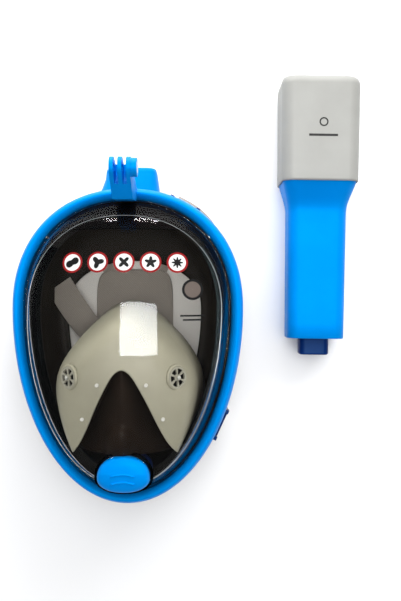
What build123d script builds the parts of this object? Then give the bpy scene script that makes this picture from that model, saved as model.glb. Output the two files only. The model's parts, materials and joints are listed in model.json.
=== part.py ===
"""Full face snorkel: a face mask lying lens up, with its detached breathing tube beside it.

Millimetres. +X runs across the mask, +Y towards the top of the head, +Z from the face out through the lens.
The origin is on the resting surface, under the middle of the whole set.
"""

import math
import os

from build123d import *

os.makedirs("parts", exist_ok=True)

# Places of the two halves of the set
mask_x, mask_y = -48.25, -19.0
tube_x, tube_y = 103.25, -44.25
tube_turn = -0.8

# Oval outline that the frame rings share
frame_half_width = 90.0
frame_top = 93.5
frame_bottom = 152.0
top_power = 2.16
bottom_power = 2.0
ring_width = 9.5

# Heights of the layers of the frame, from the back to the front
strap_thick = 1.6
lip_z = 2.0
rear_ring_z = 46.0
skirt_flange_z = 52.0
visor_flange_z = 54.0
bezel_z = 56.0
bezel_top_z = 68.0
bezel_bevel = 2.6
shoulder_z = 66.0

# Visor dome
dome_top_z = 113.0
dome_length_radius = 200.0
dome_width_radius = 112.0
dome_y = -30.0
visor_wall = 2.2
face_z = 92.0
face_half_width = 71.0
face_top = 66.0
face_bottom = 131.0
window_inset = 16.5
window_top = 59.0
window_corner = 7.0

# Face skirt and nose pocket
skirt_wall = 2.5
skirt_top_inset = 10.5
skirt_lip_inset = 17.0
lip_gap, lip_thick = 0.5, 2.0
mouth_half_width, mouth_top, mouth_bottom = 57.0, 40.0, 118.0
pocket_wall = 1.8
valve_tilt = 43.0
inhale_x, inhale_y, inhale_z = 39.5, -50.2, 95.5
inhale_r = 8.0

# Chin drain valve
chin_y = -121.5
chin_width, chin_length = 39.6, 26.2
chin_wall, chin_gap = 2.0, 0.8
cap_overlap = 0.5
rib_radius = 22.0
chin_low_z, chin_seat_z, chin_top_z = 66.0, 80.0, 90.0
chin_disc_r = 9.2

# Camera fork, to the usual three-prong action camera pattern
fork_width = 15.0
prong_pitch = 3.0
prong_gap = 3.1
ear_r = 7.5
ear_y, ear_z = 100.0, 112.0
gap_r = 11.5
arm_front_y, arm_front_z = 79.5, 98.0
bolt_hole_r = 2.6
nut_across_flats = 8.0
nut_thick = 4.0
nut_hole_r = 2.1
boss_length = 4.5

# Socket that takes the breathing tube
socket_mouth_y, socket_z = 114.2, 24.0
plug_width, plug_depth, plug_length = 24.5, 17.0, 14.0

# Head harness: clips on the frame's edge, given by place and outward heading
clips = {
    "upper_left_clip": (-43.5, 82.3, 117.0),
    "upper_right_clip": (43.5, 82.3, 63.0),
    "lower_left_clip": (-71.5, -93.0, 204.6),
    "lower_right_clip": (71.5, -93.0, -24.6),
}
pin_r = 1.5
pin_z = 41.0
clip_half_width = 12.0
strap_half_width = 9.0
pad_width, pad_length, pad_y, pad_thick = 66.0, 124.0, -29.0, 3.0

# Frame screws
screw_r, screw_inset = 1.4, 6.2
screw_angles = (15, 40, 75, 105, 140, 165, 200, 235, 258, 282, 305, 340)

# Breathing tube and dry top, along the tube's own length from its lower end
tube_width, tube_depth, tube_corner = 46.7, 33.0, 9.0
neck_y, cap_low_y, cap_top_y = 109.0, 127.4, 215.2
cap_width, cap_depth, cap_corner = 64.0, 48.0, 9.0
tube_wall, cap_wall = 2.0, 1.8
divider_x, divider_thick = 8.5, 1.5
tube_raise = 1.5
cage_low_y, cage_top_y = 135.0, 174.0
float_r, float_low_y, float_length = 13.0, 138.5, 25.0
rod_r = 2.0
slot_places = (152, 164, 176, 188)


def mask_plane(z):
    """Horizontal plane of the mask at height z."""
    return Plane(origin=(mask_x, mask_y, z))


def oval(z, half_width, top, bottom, flat_y=None):
    """Face of the mask's oval at height z: two half superellipses, cut straight at flat_y if given."""
    points = []
    for step in range(24):
        angle = math.radians(15 * step)
        cosine, sine = math.cos(angle), math.sin(angle)
        height, power = (top, top_power) if sine > 0 else (bottom, bottom_power)
        x = half_width * math.copysign(abs(cosine) ** (2 / power), cosine)
        y = height * math.copysign(abs(sine) ** (2 / power), sine)
        points.append((x, y))
    with BuildSketch(mask_plane(z)) as shape:
        with BuildLine():
            Spline(*points, periodic=True)
        make_face()
        if flat_y is not None:
            with Locations((0, flat_y)):
                Rectangle(300, 500, align=(Align.CENTER, Align.MAX), mode=Mode.INTERSECT)
            fillet(shape.vertices().group_by(Axis.Y)[-1], radius=window_corner)
    return shape.sketch


def frame_oval(z, inset):
    return oval(z, frame_half_width - inset, frame_top - inset, frame_bottom - inset)


def ring(z, height, outer_inset, inner_inset):
    """Flat ring of the frame's outline, from height z upwards."""
    with BuildPart() as band:
        extrude(frame_oval(z, outer_inset), amount=height)
        extrude(frame_oval(z, inner_inset), amount=height, mode=Mode.SUBTRACT)
    return band.part


def rounded(plane, width, height, radius):
    with BuildSketch(plane) as shape:
        RectangleRounded(width, height, radius)
    return shape.sketch


def chin_oval(z, grow=0.0):
    """Ellipse of the chin valve's housing at height z, grown all round by the given amount."""
    with BuildSketch(Plane(origin=(mask_x, mask_y + chin_y, z))) as shape:
        Ellipse(chin_width / 2 + grow, chin_length / 2 + grow)
    return shape.sketch


def chin_circle(z, radius):
    with BuildSketch(Plane(origin=(mask_x, mask_y + chin_y, z))) as shape:
        Circle(radius)
    return shape.sketch


def save(builder, label):
    builder.part.label = label
    export_step(builder.part, f"parts/{label}.step")
    return builder.part


# ---------------------------------------------------------------- dome shared by the visor's pieces

def dome(shrink):
    """Solid under the visor's surface, drawn in by shrink on every side."""
    foot_inset = ring_width + 0.1 + shrink
    face = oval(face_z, face_half_width - shrink, face_top - shrink, face_bottom - shrink)
    axis_z = dome_top_z - dome_length_radius
    section = Plane(origin=(mask_x, mask_y + dome_y, axis_z), x_dir=(1, 0, 0), z_dir=(0, -1, 0))
    reach = frame_half_width + 6
    width_radius = dome_width_radius - shrink
    crown = dome_length_radius - shrink
    edge = crown - width_radius + math.sqrt(width_radius**2 - reach**2)
    with BuildPart() as solid:
        extrude(frame_oval(visor_flange_z, foot_inset), amount=shoulder_z - visor_flange_z)
        loft([frame_oval(shoulder_z, foot_inset), face])
        extrude(face, amount=30)
        with BuildSketch(section) as arch:
            with BuildLine():
                ThreePointArc((-reach, edge), (0, crown), (reach, edge))
                Polyline((reach, edge), (reach, 40), (-reach, 40), (-reach, edge))
            make_face()
        revolve(arch.sketch, axis=Axis((mask_x, mask_y + dome_y, axis_z), (1, 0, 0)), mode=Mode.INTERSECT)
    return solid.part


dome_outer = dome(0)
dome_inner = dome(visor_wall)
liner_outer = dome(visor_wall + 0.1)
liner_inner = dome(visor_wall + 1.6)
pocket_space = dome(visor_wall + 2.2)
pocket_core = dome(visor_wall + 2.2 + pocket_wall)

with BuildPart() as chin_hole:
    extrude(chin_oval(40, chin_gap), amount=80)

# ---------------------------------------------------------------- frame rings, screws and harness lugs

def clip_plane(name):
    """Plane at a clip's pin: x runs outwards from the frame, y along its edge, z up."""
    x, y, heading = clips[name]
    outward = (math.cos(math.radians(heading)), math.sin(math.radians(heading)), 0)
    return Plane(origin=(mask_x + x, mask_y + y, pin_z), x_dir=outward, z_dir=(0, 0, 1))


def side_plane(name, along):
    """Upright plane across a clip, along its pin by the given distance: x outwards, y up."""
    base = clip_plane(name)
    return Plane(origin=base.from_local_coords((0, along, 0)), x_dir=base.x_dir, z_dir=-base.y_dir)


def pin_circle(name, along, radius):
    with BuildSketch(side_plane(name, along)) as section:
        Circle(radius)
    return section.sketch


screw_spots = []
for degrees in screw_angles:
    angle = math.radians(degrees)
    reach = frame_top if degrees < 180 else frame_bottom
    screw_x = (frame_half_width - screw_inset) * math.cos(angle)
    screw_spots.append((mask_x + screw_x, mask_y + (reach - screw_inset) * math.sin(angle)))

with BuildPart() as screw_holes:
    with BuildSketch(Plane.XY.offset(rear_ring_z - 1)):
        with Locations(*screw_spots):
            Circle(screw_r)
    extrude(amount=16)

with BuildPart() as frame_screws:
    add(screw_holes.part)
    with BuildSketch(Plane.XY.offset(rear_ring_z - 1.4)):
        with Locations(*screw_spots):
            Circle(2.5)
            Circle(0.9, mode=Mode.SUBTRACT)
    extrude(amount=1.4)
save(frame_screws, "frame_screws")

with BuildPart() as front_bezel:
    straight = bezel_top_z - bezel_bevel - bezel_z
    add(ring(bezel_z, straight, 0, ring_width))
    loft([frame_oval(bezel_z + straight, 0), frame_oval(bezel_top_z, bezel_bevel)])
    loft([
        frame_oval(bezel_z + straight, ring_width),
        frame_oval(bezel_top_z, ring_width - bezel_bevel),
    ], mode=Mode.SUBTRACT)
    with Locations((mask_x, mask_y + frame_top - 0.5, bezel_top_z - 4)):
        Box(fork_width + 0.1, 9.1, 20, align=(Align.CENTER, Align.MAX, Align.MIN), mode=Mode.SUBTRACT)
    add(screw_holes.part, mode=Mode.SUBTRACT)
save(front_bezel, "front_bezel")

with BuildPart() as rear_ring:
    add(ring(rear_ring_z, skirt_flange_z - rear_ring_z, 0, ring_width))
    add(ring(skirt_flange_z, bezel_z - skirt_flange_z, 0, 3.0))
    for name in clips:
        for along in (-13.0, 10.0):
            with BuildSketch(side_plane(name, along + 3.0)):
                with Locations((-0.5, 1.5)):
                    Rectangle(7.0, 9.0)
            extrude(amount=3.0)
        extrude(pin_circle(name, 20, pin_r), amount=40, mode=Mode.SUBTRACT)
    add(screw_holes.part, mode=Mode.SUBTRACT)
save(rear_ring, "rear_ring")

with BuildPart() as clip_pins:
    for name in clips:
        extrude(pin_circle(name, 13, pin_r), amount=26)
save(clip_pins, "clip_pins")

for name in clips:
    with BuildPart() as clip:
        extrude(pin_circle(name, 9.5, 2.9), amount=19)
        with BuildSketch(side_plane(name, 9.5)):
            with Locations((1.6, -3.0)):
                Rectangle(2.6, 6.0)
        extrude(amount=19)
        with BuildSketch(side_plane(name, clip_half_width)):
            with Locations((1.6, -15.0)):
                Rectangle(2.6, 20.0)
        extrude(amount=2 * clip_half_width)
        for slot_z in (-11.0, -20.0):
            with BuildSketch(side_plane(name, strap_half_width + 0.6)):
                with Locations((1.6, slot_z)):
                    Rectangle(6, 3.6)
            extrude(amount=2 * strap_half_width + 1.2, mode=Mode.SUBTRACT)
        extrude(pin_circle(name, 20, pin_r + 0.06), amount=40, mode=Mode.SUBTRACT)
    save(clip, name)

with BuildPart() as visor:
    add(dome_outer)
    add(dome_inner, mode=Mode.SUBTRACT)
    add(ring(visor_flange_z, bezel_z - visor_flange_z, 3.2, ring_width + 1.5))
    add(chin_hole.part, mode=Mode.SUBTRACT)
    add(screw_holes.part, mode=Mode.SUBTRACT)
save(visor, "visor")

# ---------------------------------------------------------------- skirt, liner and ducts

with BuildPart() as skirt_outside:
    loft([frame_oval(lip_z, skirt_lip_inset), frame_oval(skirt_flange_z, skirt_top_inset)])

with BuildPart() as face_skirt:
    add(skirt_outside.part)
    loft([
        frame_oval(lip_z, skirt_lip_inset + skirt_wall),
        frame_oval(skirt_flange_z, skirt_top_inset + skirt_wall),
    ], mode=Mode.SUBTRACT)
    add(ring(skirt_flange_z, visor_flange_z - skirt_flange_z, 3.2, 14.0))
    extrude(frame_oval(lip_z, skirt_lip_inset + lip_gap), amount=lip_thick)
    extrude(oval(lip_z, mouth_half_width, mouth_top, mouth_bottom), amount=lip_thick, mode=Mode.SUBTRACT)
    with Locations((mask_x, mask_y + 78, socket_z)):
        Box(18, 20, 9, mode=Mode.SUBTRACT)
    add(screw_holes.part, mode=Mode.SUBTRACT)
save(face_skirt, "face_skirt")

with BuildPart() as window:
    half_width, bottom = frame_half_width - window_inset, frame_bottom - window_inset
    extrude(oval(40, half_width, frame_top - window_inset, bottom, window_top), amount=90)

with BuildPart() as liner:
    add(liner_outer)
    add(liner_inner, mode=Mode.SUBTRACT)
    extrude(frame_oval(50, 0), amount=7.1, mode=Mode.SUBTRACT)
    add(window.part, mode=Mode.SUBTRACT)
    add(chin_hole.part, mode=Mode.SUBTRACT)
save(liner, "visor_liner")

with BuildPart() as inner_frame:
    add(ring(visor_flange_z, 3.0, 12.0, 21.0))
save(inner_frame, "inner_frame")

for side, sign in (("left", -1), ("right", 1)):
    with BuildPart() as duct:
        add(ring(57.0, 13.0, 19.5, 21.0))
        add(ring(70.0, 1.5, 17.8, 21.0))
        with Locations((mask_x + sign * 60, mask_y - 28, 65)):
            Box(90, 150, 30, mode=Mode.INTERSECT)
    save(duct, f"{side}_exhale_duct")

# ---------------------------------------------------------------- nose pocket and its two inhale valves

def pocket_section(z, top, half_top, cheek_x, cheek_y, jaw_x, jaw_y, shrink):
    """Rounded six-sided outline of the pocket at height z."""
    corners = [(half_top, top), (cheek_x, cheek_y), (jaw_x, jaw_y)]
    corners += [(-x, y) for x, y in reversed(corners)]
    with BuildSketch(mask_plane(z)) as outline:
        with BuildLine():
            Polyline(*corners, close=True)
        make_face()
        fillet(outline.vertices(), radius=9)
        if shrink:
            offset(amount=-shrink, mode=Mode.REPLACE)
    return outline.sketch


def pocket_body(shrink, space):
    """Pocket filled in: straight sides at the face, and under the visor a front that follows its dome."""
    back = pocket_section(24, 8, 12, 58, -46, 40, -106, shrink)
    middle = pocket_section(60, 3, 11, 54, -50, 37, -104, shrink)
    front = pocket_section(112, -33, 10, 38, -52, 34, -100, shrink)
    with BuildPart() as front_half:
        loft([middle, front], ruled=True)
        add(space, mode=Mode.INTERSECT)
    with BuildPart() as body:
        loft([back, middle], ruled=True)
        add(front_half.part)
    return body.part


def inhale_plane(sign):
    tilt = math.radians(valve_tilt)
    outward = (sign * math.sin(tilt), 0, math.cos(tilt))
    middle = (mask_x + sign * inhale_x, mask_y + inhale_y, inhale_z)
    return Plane(origin=middle, x_dir=(0, 1, 0), z_dir=outward)


def inhale_circle(sign, offset_z, radius):
    """Round section square to an inhale valve's axis, offset_z along it."""
    with BuildSketch(inhale_plane(sign).offset(offset_z)) as section:
        Circle(radius)
    return section.sketch


stud_places = [(17.6, -54.7, 104.4), (29.4, -80.3, 96.6)]
stud_spots = [(mask_x + sign * x, mask_y + y, z) for x, y, z in stud_places for sign in (-1, 1)]

v_corners = [(0, -38), (22, -80), (39, -104), (39, -128), (-39, -128), (-39, -104), (-22, -80)]

with BuildPart() as mouth_opening:
    with BuildSketch(mask_plane(50)) as v_shape:
        with BuildLine():
            Polyline(*v_corners, close=True)
        make_face()
        fillet(v_shape.vertices().group_by(Axis.Y)[-1], radius=6)
    extrude(amount=80)

with BuildPart() as valve_bosses:
    for sign in (-1, 1):
        extrude(inhale_circle(sign, -4, inhale_r + 2), amount=7)
    add(pocket_space, mode=Mode.INTERSECT)

with BuildPart() as nose_pocket:
    add(pocket_body(0, pocket_space))
    add(valve_bosses.part)
    add(pocket_body(pocket_wall, pocket_core), mode=Mode.SUBTRACT)
    add(mouth_opening.part, mode=Mode.SUBTRACT)
    for sign in (-1, 1):
        extrude(inhale_circle(sign, -16, inhale_r + 0.1), amount=30, mode=Mode.SUBTRACT)
    with Locations(*stud_spots):
        Cylinder(1.3, 12, mode=Mode.SUBTRACT)
    with Locations((mask_x, mask_y - 117.5, 27)):
        Box(26, 29, 2.5)
save(nose_pocket, "nose_pocket")

with BuildPart() as pocket_studs:
    with Locations(*stud_spots):
        Cylinder(1.3, 4.4)
save(pocket_studs, "pocket_studs")

for side, sign in (("left", -1), ("right", 1)):
    seat_z = inhale_plane(sign).offset(-1.2)
    with BuildPart() as seat:
        extrude(inhale_circle(sign, -1.2, inhale_r), amount=2.4)
        with BuildSketch(seat_z):
            with PolarLocations(4.9, 6):
                Circle(1.8)
            Circle(0.9)
        extrude(amount=2.4, mode=Mode.SUBTRACT)
    save(seat, f"{side}_inhale_seat")
    with BuildPart() as disc:
        extrude(inhale_circle(sign, -1.8, inhale_r - 0.6), amount=0.55)
        extrude(inhale_circle(sign, -1.8, 0.8), amount=4.1)
        extrude(inhale_circle(sign, 2.3, 1.4), amount=0.6)
    save(disc, f"{side}_inhale_disc")

# ---------------------------------------------------------------- chin drain valve

with BuildPart() as chin_housing:
    extrude(chin_oval(chin_low_z), amount=chin_top_z - chin_low_z)
    extrude(chin_oval(chin_low_z, -chin_wall), amount=chin_top_z - chin_low_z, mode=Mode.SUBTRACT)
    extrude(chin_oval(chin_seat_z, -1.5), amount=2)
    with BuildSketch(Plane(origin=(mask_x, mask_y + chin_y, chin_seat_z))):
        with PolarLocations(5.6, 6):
            Circle(2.1)
        Circle(1.3)
    extrude(amount=2, mode=Mode.SUBTRACT)
save(chin_housing, "chin_valve_housing")

with BuildPart() as chin_disc:
    extrude(chin_circle(chin_seat_z + 2.05, chin_disc_r), amount=0.9)
    extrude(chin_circle(chin_seat_z - 2.2, 1.2), amount=4.3)
    extrude(chin_circle(chin_seat_z - 2.2, 2.2), amount=0.7)
save(chin_disc, "chin_valve_disc")

with BuildPart() as chin_gasket:
    extrude(chin_oval(chin_top_z - 8, chin_gap), amount=7)
    extrude(chin_oval(chin_top_z - 8), amount=7, mode=Mode.SUBTRACT)
save(chin_gasket, "chin_valve_gasket")

with BuildPart() as chin_cap:
    extrude(chin_oval(chin_top_z, cap_overlap), amount=8)
    fillet(chin_cap.faces().sort_by(Axis.Z)[-1].edges(), radius=5)
    extrude(chin_oval(chin_top_z, -chin_wall), amount=5.5, mode=Mode.SUBTRACT)
    with Locations((mask_x, mask_y + chin_y - chin_length / 2, chin_top_z + 2)):
        with GridLocations(7, 0, 3, 1):
            Box(4.5, 8, 2.4, mode=Mode.SUBTRACT)
    for rib_y in (-3.0, 2.5):
        with BuildSketch(Plane(origin=(mask_x, mask_y + chin_y, chin_top_z + 7.5))):
            with Locations((0, rib_y - rib_radius)):
                Circle(rib_radius + 0.7)
                Circle(rib_radius - 0.7, mode=Mode.SUBTRACT)
            with Locations((0, rib_y)):
                Rectangle(18, 10, mode=Mode.INTERSECT)
        extrude(amount=1.3)
save(chin_cap, "chin_valve_cap")

# ---------------------------------------------------------------- camera fork and its nut

def fork_plane(x):
    """Upright plane square to the mask's width at x: sketch x runs towards the forehead, sketch y up."""
    return Plane(origin=(mask_x + x, mask_y, 0), x_dir=(0, 1, 0), z_dir=(1, 0, 0))


def ear_circle(x, radius):
    with BuildSketch(fork_plane(x)) as section:
        with Locations((ear_y, ear_z)):
            Circle(radius)
    return section.sketch


with BuildPart() as camera_fork:
    with BuildSketch(fork_plane(-fork_width / 2)):
        with Locations((ear_y, ear_z)):
            Circle(ear_r)
        with Locations((87.6, 70.5)):
            Rectangle(11, 1)
        with Locations((arm_front_y + 1.0, arm_front_z)):
            Circle(1.0)
        make_hull()
        with Locations((88.45, 67)):
            Rectangle(9, 6)
    extrude(amount=fork_width)
    extrude(ear_circle(fork_width / 2, ear_r - 0.8), amount=boss_length)
    for gap_x in (-prong_pitch, prong_pitch):
        extrude(ear_circle(gap_x - prong_gap / 2, gap_r), amount=prong_gap, mode=Mode.SUBTRACT)
    extrude(ear_circle(-20, bolt_hole_r), amount=40, mode=Mode.SUBTRACT)
    with BuildSketch(fork_plane(fork_width / 2 + boss_length - nut_thick)):
        with Locations((ear_y, ear_z)):
            RegularPolygon(nut_across_flats / 2, 6, major_radius=False)
    extrude(amount=nut_thick + 1, mode=Mode.SUBTRACT)
save(camera_fork, "camera_fork")

with BuildPart() as camera_nut:
    with BuildSketch(fork_plane(fork_width / 2 + boss_length - nut_thick)):
        with Locations((ear_y, ear_z)):
            RegularPolygon(nut_across_flats / 2, 6, major_radius=False)
            Circle(nut_hole_r, mode=Mode.SUBTRACT)
    extrude(amount=nut_thick)
save(camera_nut, "camera_nut")

# ---------------------------------------------------------------- breathing socket

def socket_section(y, width, depth, radius):
    """Upright section of the socket at distance y along the mask."""
    section = Plane(origin=(mask_x, mask_y + y, socket_z), x_dir=(1, 0, 0), z_dir=(0, -1, 0))
    return rounded(section, width, depth, radius)


with BuildPart() as snorkel_socket:
    base, middle = socket_section(74, 62, 40, 10), socket_section(96, 50, 34, 10)
    loft([base, middle])
    loft([middle, socket_section(socket_mouth_y, 41, 28, 8)])
    with Locations((mask_x, mask_y + 86, rear_ring_z - 5)):
        Box(30, 13, 10)
    add(skirt_outside.part, mode=Mode.SUBTRACT)
    plug_hole = socket_section(socket_mouth_y, plug_width + 2.2, plug_depth + 2.2, 5)
    extrude(plug_hole, amount=17, mode=Mode.SUBTRACT)
    extrude(socket_section(socket_mouth_y, 18, 9, 2), amount=60, mode=Mode.SUBTRACT)
save(snorkel_socket, "snorkel_socket")

with BuildPart() as socket_gasket:
    seat_y = socket_mouth_y - 10
    extrude(socket_section(seat_y, plug_width + 2.2, plug_depth + 2.2, 5), amount=3)
    extrude(socket_section(seat_y, plug_width + 0.2, plug_depth + 0.2, 4), amount=3, mode=Mode.SUBTRACT)
save(socket_gasket, "socket_gasket")

# ---------------------------------------------------------------- head harness

with BuildPart() as rear_pad:
    extrude(rounded(Plane(origin=(mask_x, mask_y + pad_y, 0)), pad_width, pad_length, 12), amount=pad_thick)
save(rear_pad, "rear_pad")

for name in clips:
    reach = 64 if name.startswith("upper") else 58
    with BuildPart() as strap:
        with BuildSketch(side_plane(name, strap_half_width)):
            with BuildLine():
                FilletPolyline((-reach, 0.8 - pin_z), (2.4, 0.8 - pin_z), (2.4, 14 - pin_z), radius=2.4)
                offset(amount=strap_thick / 2, side=Side.BOTH)
            make_face()
        extrude(amount=2 * strap_half_width)
        add(rear_pad.part, mode=Mode.SUBTRACT)
    save(strap, name.replace("clip", "strap"))

# ---------------------------------------------------------------- breathing tube

tube_across = Vector(1, 0, 0).rotate(Axis.Z, tube_turn)
tube_base = Plane(origin=(tube_x, tube_y, 0), x_dir=tube_across, z_dir=(0, 0, 1))


def tube_plane(y, z):
    """Plane across the tube at distance y along it; the sketch's y is up, and it faces the low end."""
    return Plane(origin=tube_base.from_local_coords((0, y, z)), x_dir=tube_base.x_dir, z_dir=-tube_base.y_dir)


def tube_section(y, width, depth, radius, base_z=tube_raise):
    """Rounded section of the tube whose back is at height base_z."""
    return rounded(tube_plane(y, base_z + depth / 2), width, depth, radius)


flare_width, flare_depth = cap_width - 2 * cap_wall - 0.8, cap_depth - 2 * cap_wall - 0.8
flare_base = cap_wall + 0.4
neck_width, neck_depth = tube_width + 1.5, tube_depth + 0.5


def tube_body(shrink):
    """The tube's outside, or its bore if shrunk by its wall."""
    radius = tube_corner - shrink * 0.8
    low = tube_section(0, tube_width - 2 * shrink, tube_depth - 2 * shrink, radius, tube_raise + shrink)
    neck = tube_section(neck_y, neck_width - 2 * shrink, neck_depth - 2 * shrink, radius, tube_raise + shrink)
    flare_size = (flare_width - 2 * shrink, flare_depth - 2 * shrink, radius, flare_base + shrink)
    flare = tube_section(cap_low_y, *flare_size)
    with BuildPart() as body:
        loft([low, neck])
        loft([neck, flare])
        extrude(flare, amount=-5.0)
    return body.part


tube_bore = tube_body(tube_wall)

with BuildPart() as dividers:
    for wall_x in (-divider_x, divider_x):
        middle = tube_base.from_local_coords((wall_x, 64, 25))
        with Locations(Plane(origin=middle, x_dir=tube_base.x_dir, z_dir=(0, 0, 1))):
            Box(divider_thick, 112, 60)
    add(tube_bore, mode=Mode.INTERSECT)

with BuildPart() as snorkel_tube:
    add(tube_body(0))
    add(tube_bore, mode=Mode.SUBTRACT)
    add(dividers.part)
save(snorkel_tube, "snorkel_tube")

plug_z = tube_raise + tube_depth / 2 - 2.5


def plug_section(y, width, depth, radius, across=0):
    """Rounded section of the tail plug at distance y along the tube, set across its width."""
    section = Plane(
        origin=tube_base.from_local_coords((across, y, plug_z)),
        x_dir=tube_base.x_dir,
        z_dir=-tube_base.y_dir,
    )
    return rounded(section, width, depth, radius)


with BuildPart() as tail_plug:
    inside = (tube_width - 2 * tube_wall, tube_depth - 2 * tube_wall, tube_corner - 1.6)
    extrude(tube_section(4, *inside, tube_raise + tube_wall), amount=4)
    extrude(plug_section(0, plug_width, plug_depth, 5), amount=plug_length)
    fillet(tail_plug.faces().sort_by(Axis.Y)[0].edges(), radius=1.5)
    for channel_x in (-7.6, 0, 7.6):
        extrude(plug_section(5, 5.6, 11, 2, channel_x), amount=30, mode=Mode.SUBTRACT)
save(tail_plug, "tail_plug")

# ---------------------------------------------------------------- dry top


def cage_sketch(y, width, depth, radius):
    return rounded(tube_plane(y, cap_depth / 2), width, depth, radius)


with BuildPart() as cap_shell:
    low = tube_section(cap_low_y, cap_width - 2.0, cap_depth, cap_corner, 0)
    top = tube_section(cap_top_y, cap_width, cap_depth, cap_corner, 0)
    loft([low, top])
    fillet(cap_shell.faces().sort_by(Axis.Y)[-1].edges(), radius=7)
    extrude(cage_sketch(cap_low_y, flare_width + 0.8, flare_depth + 0.8, 7.5),
            amount=-(cap_top_y - cap_low_y - cap_wall), mode=Mode.SUBTRACT)
    for slot_y in slot_places:
        middle = tube_base.from_local_coords((0, slot_y, 0))
        with Locations(Plane(origin=middle, x_dir=tube_base.x_dir, z_dir=(0, 0, 1))):
            Box(30, 4, 8, mode=Mode.SUBTRACT)
save(cap_shell, "cap_shell")

cage_width, cage_depth = flare_width + 0.8, flare_depth + 0.8
with BuildPart() as float_cage:
    extrude(cage_sketch(cage_low_y, cage_width, cage_depth, 7.5), amount=2.0)
    extrude(cage_sketch(cage_low_y, 18, 30, 5), amount=2.0, mode=Mode.SUBTRACT)
    extrude(cage_sketch(cage_low_y, 5, 44, 1), amount=2.0)
    extrude(cage_sketch(cage_top_y + 3, cage_width, cage_depth, 7.5), amount=3.0)
    with BuildSketch(tube_plane(cage_top_y, cap_depth / 2)):
        with GridLocations(42, 32, 2, 2):
            Circle(2.4)
    extrude(amount=cage_top_y - cage_low_y)
    with BuildSketch(tube_plane(cage_top_y + 3, cap_depth / 2)):
        with PolarLocations(7.0, 5):
            Circle(3.2)
    extrude(amount=3.0, mode=Mode.SUBTRACT)
save(float_cage, "float_cage")


def float_ring(y, radius, length, bore):
    with BuildPart() as collar:
        with BuildSketch(tube_plane(y, cap_depth / 2)):
            Circle(radius)
            Circle(bore, mode=Mode.SUBTRACT)
        extrude(amount=-length)
    return collar


with BuildPart() as float_rod:
    with BuildSketch(tube_plane(cage_low_y, cap_depth / 2)):
        Circle(rod_r)
    extrude(amount=-(cage_top_y - cage_low_y))
save(float_rod, "float_rod")
save(float_ring(float_low_y, float_r, float_length, rod_r + 0.06), "dry_top_float")
save(float_ring(float_low_y + float_length, float_r - 1.5, 2.0, rod_r + 0.06), "float_seal")
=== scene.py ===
"""Looks of the full face snorkel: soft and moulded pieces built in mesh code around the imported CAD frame."""

import json
import math

import bmesh
import bpy
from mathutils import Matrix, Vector


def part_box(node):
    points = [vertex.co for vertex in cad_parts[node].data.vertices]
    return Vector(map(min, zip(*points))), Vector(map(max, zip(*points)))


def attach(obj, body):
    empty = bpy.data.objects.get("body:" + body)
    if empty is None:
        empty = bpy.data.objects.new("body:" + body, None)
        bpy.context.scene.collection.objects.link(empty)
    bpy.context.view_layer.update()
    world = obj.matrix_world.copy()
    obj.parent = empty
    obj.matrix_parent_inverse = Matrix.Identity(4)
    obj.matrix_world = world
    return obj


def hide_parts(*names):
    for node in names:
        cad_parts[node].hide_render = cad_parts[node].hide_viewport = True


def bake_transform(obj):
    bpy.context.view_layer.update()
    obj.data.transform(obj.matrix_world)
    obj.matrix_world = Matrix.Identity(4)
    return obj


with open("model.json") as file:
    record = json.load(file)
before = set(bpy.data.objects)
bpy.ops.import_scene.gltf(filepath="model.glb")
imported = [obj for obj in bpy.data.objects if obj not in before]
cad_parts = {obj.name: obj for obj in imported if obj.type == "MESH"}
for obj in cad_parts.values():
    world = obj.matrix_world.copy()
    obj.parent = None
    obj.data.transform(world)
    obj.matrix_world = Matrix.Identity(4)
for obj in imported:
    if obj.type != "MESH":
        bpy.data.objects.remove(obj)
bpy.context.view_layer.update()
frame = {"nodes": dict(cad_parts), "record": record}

MM = 0.001
AROUND = 192

# ---------------------------------------------------------------- the mask's own frame, read from the CAD

bezel_low, bezel_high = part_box("front_bezel")
mask_x = (bezel_low.x + bezel_high.x) / 2
HALF_WIDTH = (bezel_high.x - bezel_low.x) / 2 / MM
TOP, BOTTOM = 93.5, 152.0
TOP_POWER, BOTTOM_POWER = 2.16, 2.0
mask_y = bezel_high.y - TOP * MM
BEZEL_Z, BEZEL_TOP = bezel_low.z / MM, bezel_high.z / MM
RING_WIDTH = 9.5

# Visor dome: height over the resting surface, as in the CAD
DOME_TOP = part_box("visor")[1].z / MM
DOME_Y, LENGTH_RADIUS, WIDTH_RADIUS = -30.0, 200.0, 112.0
SHOULDER_Z, FACE_Z = 66.0, 92.0
FOOT_INSET = RING_WIDTH + 0.1
FACE = (71.0, 66.0, 131.0)
SHOULDER_ROUND = 5.0
VISOR_WALL = 2.2
WINDOW_INSET, WINDOW_TOP = 16.5, 59.0
CHIN_Y = -121.5
VALVE_X, VALVE_Y, VALVE_R = 39.5, -50.2, 8.0


def mask_point(x, y, z):
    """Point of the mask's own frame, in mm, as a place in the row frame."""
    return Vector((mask_x + x * MM, mask_y + y * MM, z * MM))


MASK_MIDDLE = mask_point(0, -40, 40)


def smooth_min(a, b, radius):
    """The lower of two heights, with a rounded crossing."""
    near = max(radius - abs(a - b), 0) / radius
    return min(a, b) - near * near * radius / 4


def oval(half_width, top, bottom, turn):
    """Point at turn, from 0 to 1, round an oval of two half superellipses."""
    angle = 2 * math.pi * turn
    cosine, sine = math.cos(angle), math.sin(angle)
    height, power = (top, TOP_POWER) if sine > 0 else (bottom, BOTTOM_POWER)
    x = half_width * math.copysign(abs(cosine) ** (2 / power), cosine)
    y = height * math.copysign(abs(sine) ** (2 / power), sine)
    return x, y


def frame_oval(inset, turn):
    return oval(HALF_WIDTH - inset, TOP - inset, BOTTOM - inset, turn)


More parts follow.
